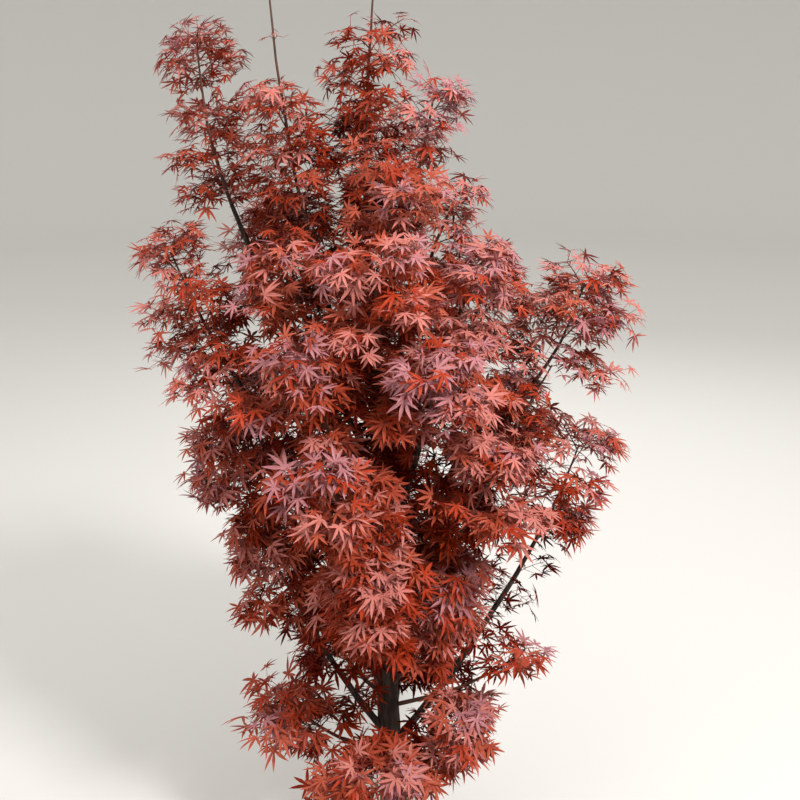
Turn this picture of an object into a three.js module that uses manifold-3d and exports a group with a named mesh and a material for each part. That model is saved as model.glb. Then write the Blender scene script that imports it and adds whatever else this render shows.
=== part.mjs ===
// A young red-leaved Japanese maple, about 1.8 m tall, as a trunk, its boughs and its masses of foliage.
// Units are millimetres and +Z is up. The origin is the middle of the flat cut at ground level.
// Bearings are degrees seen from above: 0 is right (+X), 90 is the back (+Y), 270 is the front (-Y).
import * as THREE from "three";
import Module from "manifold-3d";

const wasm = await Module();
wasm.setup();

// Driving dimensions
const GAP = 0.3; // clearance between a limb and what it carries
const TRUNK = {
  height: 1390,
  sides: 12,
  rings: 15,
  lowRadius: 29, // just above the root flare
  tipRadius: 4.2,
  taper: 0.92, // 1 would be a straight cone
  flareOut: 15, // how far the roots swell at the ground
  flareHeight: 42,
  rootLobes: 5,
  leanLeft: 52, // how far the tip stands left of the foot
  leanBack: 30,
  sway: -7, // the slow bends along the way
};
const BOUGH = {
  sides: 6,
  rings: 4,
  footRadius: 7.4,
  footRadiusPerReach: 0.0065,
  tipRadius: 4.1,
  turnOut: 0.54, // how much of its way out, and up, lies before its bend
  turnUp: 0.42,
};
const STEM = {
  sides: 4,
  rings: 4,
  footRadius: 3.9,
  tipRadius: 3,
  onTrunkRadius: 5.2, // of a stem that leaves the trunk itself
  turnOut: 0.72,
  turnUp: 0.42,
  straight: 0.45, // how far a stem on a bough keeps the bough's line before it bends
};
// Where a bough enters its mass and where the mass's stem ends, in half widths from the mass's middle.
const ENTRY = { inward: 0.42, below: 0.72 };
const TOP = { outward: 0.16, above: 0.62 };
const TWIG = {
  radius: 2,
  spacing: 56, // between one pair and the next
  longest: 0.72, // of the mass's half width
  shortest: 0.15,
  tries: 7,
};
const STALK = { radius: 1.4, longest: 46, shortest: 16, tries: 5, bearing: 68 };
// How each shoot strays: its bearing, lift and length, and how its leaf hangs, rolls and varies in size.
const STRAY = {
  bearing: 28,
  lift: [-12, 44],
  length: [0.88, 1.12],
  tilt: [8, 66],
  roll: 36,
  size: [0.8, 1.08],
};
const WHIP = { wide: 62, leafScale: 0.42 }; // the slim space round a bare shoot, and its small leaves
const NODE_SHARE = [0.48, 0.76]; // where along a twig its side leaves stand
const NODE_LENGTH = 4;
const LEAF = {
  radius: 80, // from the blade's middle to the tip of the middle lobe
  neck: 9, // from the stalk's end to the blade's middle
  thickness: 4,
  droop: 0.16, // of a lobe's length, at its tip
  apart: 34, // least distance between two blades' middles in one mass
  fullWidth: 128, // a narrower mass has smaller leaves
};
// The lobes of a leaf as [bearing from the middle lobe, length as a share of the radius], and the notches
// between them.
const LOBES = [[-108, 0.74], [-54, 0.94], [0, 1], [54, 0.94], [108, 0.74]];
const NOTCHES = [[-81, 0.44], [-27, 0.5], [27, 0.5], [81, 0.44]];
const CELL_MARGIN = 0.6; // from the plane between two masses
const FULLNESS = 3; // 2 would make each mass an ellipsoid, and more makes its shoulders fuller
const CLEAR = 3; // between foliage and the limbs that don't carry it
const OWN_CLEAR = 1.5; // between the leaves and twigs of one mass
const MERGE = 0.05; // edges shorter than this are closed up

// Each mass fills its own space, a rounded body with half widths `wide` and `tall`. Its middle lies `out`
// from the axis at the origin, on a bearing, at a height. A bough or the mass's own stem leaves the trunk
// at height `foot` to reach it. A `thin` below 1 keeps only that share of its leaves, and a `whip` is how
// far its stem shoots up out of it, nearly bare.
const MASSES = [
  { name: "spire_left", bearing: 172, out: 346, height: 1508, wide: 88, tall: 212, foot: 742, thin: 0.9 },
  { name: "leader_left", bearing: 187, out: 200, height: 1425, wide: 112, tall: 190, foot: 880,
    whip: 215, thin: 0.95 },
  { name: "leader_centre", bearing: 135, out: 26, height: 1545, wide: 110, tall: 165, on: "tip",
    whip: 130, thin: 0.8 },
  { name: "leader_right", bearing: 352, out: 62, height: 1490, wide: 82, tall: 122, foot: 1180,
    on: "trunk", thin: 0.85 },
  { name: "shoulder_right", bearing: 348, out: 102, height: 1312, wide: 96, tall: 108, foot: 985 },
  { name: "upper_centre", bearing: 258, out: 118, height: 1380, wide: 132, tall: 125, foot: 1045,
    thin: 0.9 },
  { name: "back_top", bearing: 95, out: 205, height: 1400, wide: 130, tall: 140, foot: 960 },
  { name: "left_high", bearing: 182, out: 392, height: 1185, wide: 142, tall: 142, foot: 585 },
  { name: "centre_high", bearing: 262, out: 225, height: 1215, wide: 135, tall: 125, foot: 790 },
  { name: "left_inner", bearing: 207, out: 212, height: 1198, wide: 112, tall: 112, foot: 815 },
  { name: "right_inner", bearing: 322, out: 175, height: 1195, wide: 128, tall: 120, foot: 850 },
  { name: "right_high", bearing: 3, out: 340, height: 1120, wide: 150, tall: 142, foot: 700 },
  { name: "back_high_left", bearing: 135, out: 330, height: 1225, wide: 138, tall: 130, foot: 655 },
  { name: "back_high_right", bearing: 50, out: 288, height: 1145, wide: 124, tall: 118, foot: 765 },
  { name: "left_mid", bearing: 191, out: 328, height: 1035, wide: 126, tall: 118, foot: 480 },
  { name: "front_mid_left", bearing: 238, out: 272, height: 1060, wide: 135, tall: 122, foot: 620 },
  { name: "front_mid_right", bearing: 288, out: 228, height: 1045, wide: 138, tall: 120, foot: 680 },
  { name: "right_mid", bearing: 347, out: 282, height: 1000, wide: 132, tall: 112, foot: 550,
    thin: 0.85 },
  { name: "back_mid", bearing: 88, out: 300, height: 1035, wide: 150, tall: 128, foot: 600 },
  { name: "left_low", bearing: 187, out: 310, height: 832, wide: 124, tall: 118, foot: 352 },
  { name: "front_low_left", bearing: 247, out: 270, height: 860, wide: 138, tall: 122, foot: 440 },
  { name: "front_low_right", bearing: 317, out: 238, height: 850, wide: 138, tall: 120, foot: 510 },
  { name: "right_low", bearing: 1, out: 345, height: 795, wide: 132, tall: 150, foot: 200, thin: 0.6 },
  { name: "back_low_left", bearing: 143, out: 315, height: 880, wide: 142, tall: 132, foot: 400 },
  { name: "back_low_right", bearing: 40, out: 300, height: 860, wide: 140, tall: 130, foot: 460 },
  { name: "skirt_left", bearing: 192, out: 264, height: 662, wide: 130, tall: 102, foot: 225 },
  { name: "skirt_front", bearing: 260, out: 220, height: 662, wide: 132, tall: 115, foot: 400,
    on: "trunk" },
  { name: "skirt_right", bearing: 307, out: 158, height: 592, wide: 98, tall: 145, foot: 345,
    on: "trunk" },
  { name: "skirt_back", bearing: 95, out: 250, height: 670, wide: 155, tall: 132, foot: 310,
    on: "trunk" },
  { name: "right_lowest", bearing: 346, out: 262, height: 436, wide: 74, tall: 66, foot: 300,
    on: "trunk", thin: 0.4 },
  { name: "skirt_inner", bearing: 188, out: 132, height: 472, wide: 92, tall: 88, foot: 318,
    on: "trunk" },
  { name: "base_left", bearing: 202, out: 226, height: 335, wide: 140, tall: 108, foot: 178, on: "trunk",
    thin: 0.7 },
  { name: "base_front", bearing: 258, out: 200, height: 238, wide: 165, tall: 88, foot: 118, on: "trunk",
    thin: 0.85 },
  { name: "base_right", bearing: 321, out: 156, height: 280, wide: 108, tall: 122, foot: 140,
    on: "trunk", thin: 0.8 },
  { name: "base_back", bearing: 82, out: 185, height: 385, wide: 150, tall: 130, foot: 200, on: "trunk" },
];

const bark = new THREE.MeshStandardMaterial({ color: 0x4a3b33, roughness: 0.85, flatShading: true });
const foliage = new THREE.MeshStandardMaterial({ color: 0x963c34, roughness: 0.6, flatShading: true });

const UP = new THREE.Vector3(0, 0, 1);
const radians = THREE.MathUtils.degToRad;
const lerp = THREE.MathUtils.lerp;

// A small repeatable random number generator, from 0 to 1.
function seeded(seed) {
  let state = seed;
  return () => {
    state = (state * 48271) % 2147483647;
    return state / 2147483647;
  };
}

function heading(bearing, lift = 0) {
  const b = radians(bearing);
  const l = radians(lift);
  return new THREE.Vector3(Math.cos(b) * Math.cos(l), Math.sin(b) * Math.cos(l), Math.sin(l));
}

// Solids and meshes

function solidOf(positions, triangles) {
  return new wasm.Manifold(
    new wasm.Mesh({
      numProp: 3,
      vertProperties: new Float32Array(positions),
      triVerts: new Uint32Array(triangles),
    }),
  );
}

// Closes a stack of rings, each a list of the same number of points, into one solid.
function solidOfRings(rings) {
  const sides = rings[0].length;
  const last = (rings.length - 1) * sides;
  const triangles = [];
  for (let ring = 0; ring < rings.length - 1; ring++)
    for (let side = 0; side < sides; side++) {
      const a = ring * sides + side;
      const b = ring * sides + ((side + 1) % sides);
      triangles.push(a, b, b + sides, a, b + sides, a + sides);
    }
  for (let side = 1; side < sides - 1; side++) {
    triangles.push(0, side + 1, side);
    triangles.push(last, last + side, last + side + 1);
  }
  return solidOf(rings.flat().flatMap((p) => p.toArray()), triangles);
}

// The bones of a limb: straight lengths of its middle line, each with its radius at the thicker end.
function bonesOf(points, radii) {
  return points.slice(1).map((point, i) => ({
    line: new THREE.Line3(points[i], point),
    radius: Math.max(radii[i], radii[i + 1]),
  }));
}

function bonesAlong(curve, footRadius, tipRadius, segments) {
  const shares = Array.from({ length: segments + 1 }, (_, i) => i / segments);
  return bonesOf(
    shares.map((share) => curve.getPointAt(share)),
    shares.map((share) => lerp(footRadius, tipRadius, share)),
  );
}

// Whether every one of the lines, all within `size` of a middle, keeps clear of every bone.
function keepsClear(lines, middle, size, bones, clear = CLEAR) {
  const near = new THREE.Vector3();
  return bones.every((bone) => {
    const room = bone.radius + clear;
    bone.line.closestPointToPoint(middle, true, near);
    if (near.distanceTo(middle) > size + room) return true;
    return lines.every((line) => line.distanceSqToLine3(bone.line) > room * room);
  });
}

// A round limb along a curve, whose radius goes evenly from foot to tip.
function limb(curve, footRadius, tipRadius, sides, segments) {
  const frames = curve.computeFrenetFrames(segments, false);
  const rings = [];
  for (let i = 0; i <= segments; i++) {
    const middle = curve.getPointAt(i / segments);
    const radius = lerp(footRadius, tipRadius, i / segments);
    rings.push(
      Array.from({ length: sides }, (_, side) => {
        const angle = (2 * Math.PI * side) / sides;
        return middle
          .clone()
          .addScaledVector(frames.normals[i], radius * Math.cos(angle))
          .addScaledVector(frames.binormals[i], radius * Math.sin(angle));
      }),
    );
  }
  return solidOfRings(rings);
}

// The biggest body of a solid, without loose scraps or the shell of a sealed hollow.
function largestBody(solid) {
  return solid
    .simplify(MERGE)
    .decompose()
    .reduce((a, b) => (b.volume() > a.volume() ? b : a));
}

function meshOf(solid, name, material) {
  const { vertProperties, triVerts } = solid.getMesh();
  const geometry = new THREE.BufferGeometry();
  geometry.setAttribute("position", new THREE.BufferAttribute(vertProperties, 3));
  geometry.setIndex(new THREE.BufferAttribute(triVerts, 1));
  const mesh = new THREE.Mesh(geometry, material);
  mesh.name = name;
  return mesh;
}

// The trunk

function trunkAt(height) {
  const share = height / TRUNK.height;
  const bend = Math.sin(share * 3 * Math.PI) * TRUNK.sway * share * (1 - share) * 4;
  return new THREE.Vector3(
    -TRUNK.leanLeft * Math.pow(share, 1.15) + bend,
    TRUNK.leanBack * share * share - bend * 0.6,
    height,
  );
}

function trunkRadius(height, angle = 0) {
  const share = Math.pow(height / TRUNK.height, TRUNK.taper);
  const lobes = 0.75 + 0.25 * Math.cos(TRUNK.rootLobes * angle + 0.6);
  return (
    lerp(TRUNK.lowRadius, TRUNK.tipRadius, share) +
    TRUNK.flareOut * lobes * Math.exp(-height / TRUNK.flareHeight)
  );
}

// Rings crowd towards the ground, where the flare is.
function trunkSolid(grown = 0) {
  const rings = [];
  for (let i = 0; i < TRUNK.rings; i++) {
    const height = TRUNK.height * Math.pow(i / (TRUNK.rings - 1), 1.7);
    const middle = trunkAt(height);
    rings.push(
      Array.from({ length: TRUNK.sides }, (_, side) => {
        const angle = (2 * Math.PI * side) / TRUNK.sides;
        const out = new THREE.Vector3(Math.cos(angle), Math.sin(angle), 0);
        return middle.clone().addScaledVector(out, trunkRadius(height, angle) + grown);
      }),
    );
  }
  return solidOfRings(rings);
}

// The spaces of the masses

function middleOf(mass) {
  return heading(mass.bearing).multiplyScalar(mass.out).setZ(mass.height);
}

// How far a mass's rounded body reaches from its middle along a direction.
function reach(mass, direction) {
  return Math.hypot(mass.wide * direction.x, mass.wide * direction.y, mass.tall * direction.z);
}

// The planes that part a mass from each of the others, as [normal, distance from its middle].
function wallsOf(mass) {
  return MASSES.filter((other) => other !== mass).map((other) => {
    const normal = middleOf(other).sub(middleOf(mass));
    const apart = normal.length();
    normal.normalize();
    const share = reach(mass, normal) / (reach(mass, normal) + reach(other, normal));
    return [normal, apart * share - CELL_MARGIN];
  });
}

function inSpace(mass, walls, point) {
  if (mass.whip && inWhip(mass, point)) return true;
  const from = point.clone().sub(middleOf(mass));
  const across = Math.hypot(from.x, from.y) / mass.wide;
  const rounded = Math.pow(across, FULLNESS) + Math.pow(Math.abs(from.z) / mass.tall, FULLNESS);
  return rounded < 1 && walls.every(([normal, distance]) => from.dot(normal) < distance);
}

// The top of a mass's stem, and the slim space round the part of it that stands above the mass.
function topOf(mass) {
  return middleOf(mass)
    .addScaledVector(heading(mass.bearing), TOP.outward * mass.wide)
    .addScaledVector(UP, TOP.above * mass.tall + (mass.whip ?? 0));
}

function inWhip(mass, point) {
  const top = topOf(mass);
  const above = point.z > top.z - 0.7 * mass.whip && point.z < top.z + WHIP.wide;
  return above && Math.hypot(point.x - top.x, point.y - top.y) < WHIP.wide;
}

// Boughs and stems

// Where a bough enters its mass: low down, on the side of the trunk.
function entryOf(mass) {
  return middleOf(mass)
    .addScaledVector(heading(mass.bearing), -ENTRY.inward * mass.wide)
    .addScaledVector(UP, -ENTRY.below * mass.tall);
}

// A limb leaves the trunk outwards and then sweeps upwards.
function sweep(from, to, outShare, upShare) {
  const turn = new THREE.Vector3(
    lerp(from.x, to.x, outShare),
    lerp(from.y, to.y, outShare),
    lerp(from.z, to.z, upShare),
  );
  return new THREE.QuadraticBezierCurve3(from, turn, to);
}

function boughCurve(mass) {
  return sweep(trunkAt(mass.foot), entryOf(mass), BOUGH.turnOut, BOUGH.turnUp);
}

// The stem starts along the bough's own line, and ends high in the mass.
function stemCurve(mass) {
  const top = topOf(mass);
  if (mass.on === "trunk") return sweep(trunkAt(mass.foot), top, STEM.turnOut, STEM.turnUp);
  const carrier = mass.on === "tip" ? null : boughCurve(mass);
  const along = carrier ? carrier.getTangent(1) : UP.clone();
  const foot = (carrier ? carrier.getPoint(1) : trunkAt(TRUNK.height)).addScaledVector(along, GAP);
  const turn = foot.clone().addScaledVector(along, STEM.straight * foot.distanceTo(top));
  return new THREE.QuadraticBezierCurve3(foot, turn, top);
}

function boughRadius(curve) {
  return BOUGH.footRadius + BOUGH.footRadiusPerReach * (curve.getLength() - 300);
}

function boughSolid(mass, roomForTrunk) {
  const curve = boughCurve(mass);
  const whole = limb(curve, boughRadius(curve), BOUGH.tipRadius, BOUGH.sides, BOUGH.rings);
  return largestBody(whole.subtract(roomForTrunk));
}

function stemRadius(mass) {
  return mass.on === "trunk" ? STEM.onTrunkRadius : STEM.footRadius;
}

function stemSolid(mass) {
  return limb(stemCurve(mass), stemRadius(mass), STEM.tipRadius, STEM.sides, STEM.rings);
}

function stemBones(mass) {
  return bonesAlong(stemCurve(mass), stemRadius(mass), STEM.tipRadius, STEM.rings);
}

function trunkBones() {
  const heights = Array.from({ length: TRUNK.rings }, (_, i) => (TRUNK.height * i) / (TRUNK.rings - 1));
  return bonesOf(heights.map(trunkAt), heights.map((height) => trunkRadius(height)));
}

// Every limb that the foliage of one mass keeps clear of: all but its own stem.
function bonesAround(mass) {
  const bones = trunkBones();
  for (const other of MASSES) {
    if (!other.on) {
      const curve = boughCurve(other);
      bones.push(...bonesAlong(curve, boughRadius(curve), BOUGH.tipRadius, BOUGH.rings));
    }
    if (other !== mass) bones.push(...stemBones(other));
  }
  return bones;
}

// Twigs and leaves

// The rim of a leaf in its own frame, from one base lobe round to the other: the middle lobe is along +X.
function leafRim(size) {
  const at = ([bearing, length], droop) =>
    heading(bearing).multiplyScalar(length * size).setZ(-droop * length * size);
  const tips = LOBES.map((lobe) => at(lobe, LEAF.droop));
  return tips.flatMap((tip, i) => (i ? [at(NOTCHES[i - 1], 0), tip] : [tip]));
}

// Three points round a middle, in order as seen from the front: two below and one above.
function triangleRing(middle, side, up, radius) {
  return [-0.87, 0.87, 0].map((across, i) =>
    middle
      .clone()
      .addScaledVector(side, across * radius)
      .addScaledVector(up, (i < 2 ? -0.5 : 1) * radius),
  );
}

// A shoot is a three-sided twig or stalk with a leaf at its end, not yet part of a surface. The leaf goes
// on in the shoot's bearing, hangs down by `tilt` degrees and is rolled about itself.
function shootFrom({ from, bearing, lift, length, radius, tilt, roll, size }) {
  const out = heading(bearing, lift);
  const level = heading(bearing + 90);
  const end = from.clone().addScaledVector(out, length);
  const forward = heading(bearing, -tilt);
  const side = level.clone().applyAxisAngle(forward, radians(roll));
  const normal = forward.clone().cross(side);
  const up = out.clone().cross(level).multiplyScalar(2).add(normal).normalize();
  const middle = end.clone().addScaledVector(forward, LEAF.neck);
  const frame = new THREE.Matrix4().makeBasis(forward, side, normal).setPosition(middle);
  const rim = leafRim(size).map((p) => p.applyMatrix4(frame));
  const edges = rim.slice(1).map((point, i) => new THREE.Line3(rim[i], point));
  return {
    ...{ from, out, bearing, length, radius, end, size, middle, rim, edges },
    top: middle.clone().addScaledVector(normal, LEAF.thickness / 2),
    under: middle.clone().addScaledVector(normal, -LEAF.thickness / 2),
    spokes: rim.map((point) => new THREE.Line3(middle, point)),
    faces: edges.map(({ start, end: next }) => new THREE.Triangle(middle, start, next)),
    stalk: new THREE.Line3(from.clone().addScaledVector(out, Math.min(9, length / 2)), end),
    ringAt: (share) =>
      triangleRing(
        from.clone().addScaledVector(out, length * share),
        level,
        up,
        lerp(radius, Math.min(radius, STALK.radius), share),
      ),
  };
}

function linesOf(shoot) {
  return [...shoot.edges, ...shoot.spokes, shoot.stalk];
}

// Whether any of the lines passes through any of the triangles.
function pierces(lines, faces) {
  const ray = new THREE.Ray();
  const hit = new THREE.Vector3();
  return lines.some((line) => {
    const length = line.distance();
    ray.set(line.start, line.delta(new THREE.Vector3()).normalize());
    return faces.some(
      ({ a, b, c }) => ray.intersectTriangle(a, b, c, false, hit) && hit.distanceTo(line.start) < length,
    );
  });
}

// One closed surface of triangles that grows: a triangle of it is opened and drawn out to a new ring.
class Growth {
  points = [];
  triangles = [];

  put(points) {
    this.points.push(...points);
    return points.map((_, i) => this.points.length - points.length + i);
  }

  open(hole) {
    this.triangles = this.triangles.filter((face) => face.join() !== hole.join());
    return hole;
  }

  draw(hole, points) {
    const ring = this.put(points);
    for (const [i, j] of [[0, 1], [1, 2], [2, 0]])
      this.triangles.push([hole[i], hole[j], ring[j]], [hole[i], ring[j], ring[i]]);
    return ring;
  }

  // The new ring's points turned round until they lie most nearly as the hole's do.
  drawAligned(hole, points) {
    const corners = hole.map((i) => this.points[i]);
    const turned = (k) => points.map((_, i) => points[(i + k) % 3]);
    const spread = (k) =>
      turned(k).reduce((sum, point, i) => {
        const next = turned(k)[(i + 1) % 3].clone().sub(point).normalize();
        return sum + next.dot(corners[(i + 1) % 3].clone().sub(corners[i]).normalize());
      }, 0);
    const best = [0, 1, 2].reduce((a, b) => (spread(b) > spread(a) ? b : a));
    const ring = this.draw(hole, turned(best));
    return points.map((_, i) => ring[(i - best + 3) % 3]);
  }

  // Closes a ring with a leaf.
  leaf([a, b, c], shoot) {
    const [top, under, ...rim] = this.put([shoot.top, shoot.under, ...shoot.rim]);
    const loop = [a, ...rim, b];
    for (let i = 1; i < loop.length; i++)
      this.triangles.push([top, loop[i - 1], loop[i]], [under, loop[i], loop[i - 1]]);
    this.triangles.push([top, b, c], [top, c, a], [under, a, b]);
  }

  // A twig that is open at neither end, with a short length of it left to carry side stalks.
  twig(shoot, node) {
    const foot = this.put(shoot.ringAt(0));
    this.triangles.push([foot[2], foot[1], foot[0]]);
    const low = this.draw(foot, shoot.ringAt(node));
    const high = this.draw(low, shoot.ringAt(node + NODE_LENGTH / shoot.length));
    this.leaf(this.draw(high, shoot.ringAt(1)), shoot);
    return [
      [low[1], low[2], high[2]],
      [low[2], low[0], high[0]],
    ];
  }

  stalk(hole, shoot) {
    this.leaf(this.drawAligned(this.open(hole), shoot.ringAt(1)), shoot);
  }

  solid() {
    return solidOf(this.points.flatMap((p) => p.toArray()), this.triangles.flat());
  }
}

// Twigs leave the stem in opposite pairs, each pair a quarter turn on from the last. Each ends in a leaf
// and carries one to each side. What would leave the mass's space, come near a limb or cross another
// leaf is tried again, shorter, and then skipped.
function foliageOf(mass, seed) {
  const random = seeded(seed);
  const between = (low, high) => lerp(low, high, random());
  const walls = wallsOf(mass);
  const bones = bonesAround(mass);
  const curve = stemCurve(mass);
  const parts = [stemSolid(mass)];
  const shoots = [];
  const own = stemBones(mass);
  const smaller = Math.min(1, mass.wide / LEAF.fullWidth);

  function crosses(shoot) {
    const lines = linesOf(shoot);
    return shoots.some((other) => {
      if (other.middle.distanceTo(shoot.middle) > other.size + shoot.size) return false;
      if (other.middle.distanceTo(shoot.middle) < LEAF.apart * smaller) return true;
      return pierces(lines, other.faces) || pierces(linesOf(other), shoot.faces);
    });
  }

  function fits(shoot) {
    if (![shoot.end, ...shoot.rim].every((p) => inSpace(mass, walls, p))) return false;
    const blade = [...shoot.edges, ...shoot.spokes];
    const wide = shoot.size + shoot.length;
    if (!keepsClear(linesOf(shoot), shoot.middle, wide, bones)) return false;
    return !crosses(shoot) && keepsClear(blade, shoot.middle, shoot.size, own, OWN_CLEAR);
  }

  // Tries shorter and shorter shoots, and keeps the first that fits.
  function shootThatFits(from, bearing, { longest, shortest, radius, tries, scale = 1 }) {
    const dropped = random() > (mass.thin ?? 1);
    for (let i = 0; i < tries; i++) {
      const shoot = shootFrom({
        from,
        bearing: bearing + between(-STRAY.bearing, STRAY.bearing),
        lift: between(...STRAY.lift),
        length: lerp(longest, shortest, i / (tries - 1)) * between(...STRAY.length),
        radius,
        tilt: between(...STRAY.tilt),
        roll: between(-STRAY.roll, STRAY.roll),
        size: LEAF.radius * smaller * scale * between(...STRAY.size),
      });
      if (dropped || !fits(shoot)) continue;
      shoots.push(shoot);
      own.push(...shoot.edges.map((line) => ({ line, radius: LEAF.thickness / 4 })));
      own.push({ line: shoot.stalk, radius });
      return shoot;
    }
    return null;
  }

  function growTwig(from, bearing, kind) {
    const twig = shootThatFits(from, bearing, kind);
    if (!twig) return;
    const growth = new Growth();
    const node = between(...NODE_SHARE);
    const holes = growth.twig(twig, node);
    const foot = twig.from.clone().addScaledVector(twig.out, node * twig.length + NODE_LENGTH / 2);
    holes.forEach((hole, i) => {
      const stalk = shootThatFits(foot, twig.bearing + (i ? -STALK.bearing : STALK.bearing), STALK);
      if (stalk) growth.stalk(hole, stalk);
    });
    parts.push(growth.solid());
  }

  const along = curve.getLength();
  const leafy = 1 - (mass.whip ?? 0) / along;
  const nodes = Math.max(2, Math.round((along * leafy * 0.8) / TWIG.spacing));
  const kind = { ...TWIG, longest: TWIG.longest * mass.wide, shortest: TWIG.shortest * mass.wide };
  let bearing = mass.bearing + between(20, 70);
  for (let i = 0; i < nodes; i++) {
    const share = leafy * lerp(mass.on === "trunk" ? 0.42 : 0.14, 0.92, i / (nodes - 1));
    growTwig(curve.getPoint(share), bearing, kind);
    growTwig(curve.getPoint(share + 0.02), bearing + 180, kind);
    bearing += 90;
  }
  const last = { ...STALK, radius: TWIG.radius, scale: mass.whip ? WHIP.leafScale : 1 };
  for (const turn of [0, 1, 2]) {
    const below = 2 + 5 * turn;
    growTwig(curve.getPointAt(1 - below / along), bearing + 120 * turn, last);
  }
  return largestBody(wasm.Manifold.union(parts));
}

// The tree

const tree = new THREE.Group();
tree.name = "japanese_maple_tree";

const trunk = trunkSolid();
const roomForTrunk = trunkSolid(GAP / Math.cos(Math.PI / TRUNK.sides));
tree.add(meshOf(trunk, "trunk", bark));

for (const mass of MASSES.filter((m) => !m.on))
  tree.add(meshOf(boughSolid(mass, roomForTrunk), `bough_${mass.name}`, bark));

MASSES.forEach((mass, index) => {
  let solid = foliageOf(mass, 1000 + 37 * index);
  if (mass.on === "trunk") solid = largestBody(solid.subtract(roomForTrunk));
  tree.add(meshOf(solid, `leaves_${mass.name}`, foliage));
});

export default tree;
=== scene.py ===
# The detailed looks of a young red-leaved Japanese maple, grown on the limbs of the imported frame.
# Sizes are millimetres and bearings are degrees, as in the part; meshes are put in place in metres.
import math

import bpy
import numpy as np
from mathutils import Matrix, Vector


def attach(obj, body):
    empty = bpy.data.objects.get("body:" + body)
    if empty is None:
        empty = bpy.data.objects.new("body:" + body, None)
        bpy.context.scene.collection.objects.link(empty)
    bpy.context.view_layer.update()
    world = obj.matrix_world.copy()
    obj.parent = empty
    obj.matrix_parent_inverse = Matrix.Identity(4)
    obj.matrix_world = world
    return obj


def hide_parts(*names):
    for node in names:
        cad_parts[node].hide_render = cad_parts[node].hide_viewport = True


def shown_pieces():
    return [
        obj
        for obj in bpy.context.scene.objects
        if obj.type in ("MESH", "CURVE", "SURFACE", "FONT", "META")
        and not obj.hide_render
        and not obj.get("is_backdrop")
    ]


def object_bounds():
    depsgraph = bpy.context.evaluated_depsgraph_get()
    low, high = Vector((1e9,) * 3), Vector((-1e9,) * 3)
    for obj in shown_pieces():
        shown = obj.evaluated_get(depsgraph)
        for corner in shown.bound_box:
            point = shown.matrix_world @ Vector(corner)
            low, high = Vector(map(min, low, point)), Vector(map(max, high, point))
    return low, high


MM = 0.001
UP = np.array([0.0, 0.0, 1.0])

# Driving dimensions, the same as the part's
TRUNK = dict(height=1390, low_radius=29, tip_radius=4.2, taper=0.92, flare_out=15, flare_height=42,
             root_lobes=5, lobe_depth=0.25, lobe_turn=0.6, lean_left=52, left_curve=1.15, lean_back=30,
             back_curve=2, sway=-7, half_waves=3, sway_back=0.6)
BOUGH = dict(foot_radius=7.4, usual_reach=300, per_reach=0.0065, tip_radius=4.1, turn_out=0.54,
             turn_up=0.42)
STEM = dict(foot_radius=3.9, on_trunk_radius=5.2, turn_out=0.72, turn_up=0.42, straight=0.45)
ENTRY = dict(inward=0.42, below=0.72)
TOP = dict(outward=0.16, above=0.62)

# A stem starts GAP clear of what carries it. CELL_MARGIN is kept from the plane between two masses.
# A FULLNESS of 2 would make each mass an ellipsoid, and more makes its shoulders fuller.
GAP = 0.3
CELL_MARGIN = 0.6
FULLNESS = 3

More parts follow.
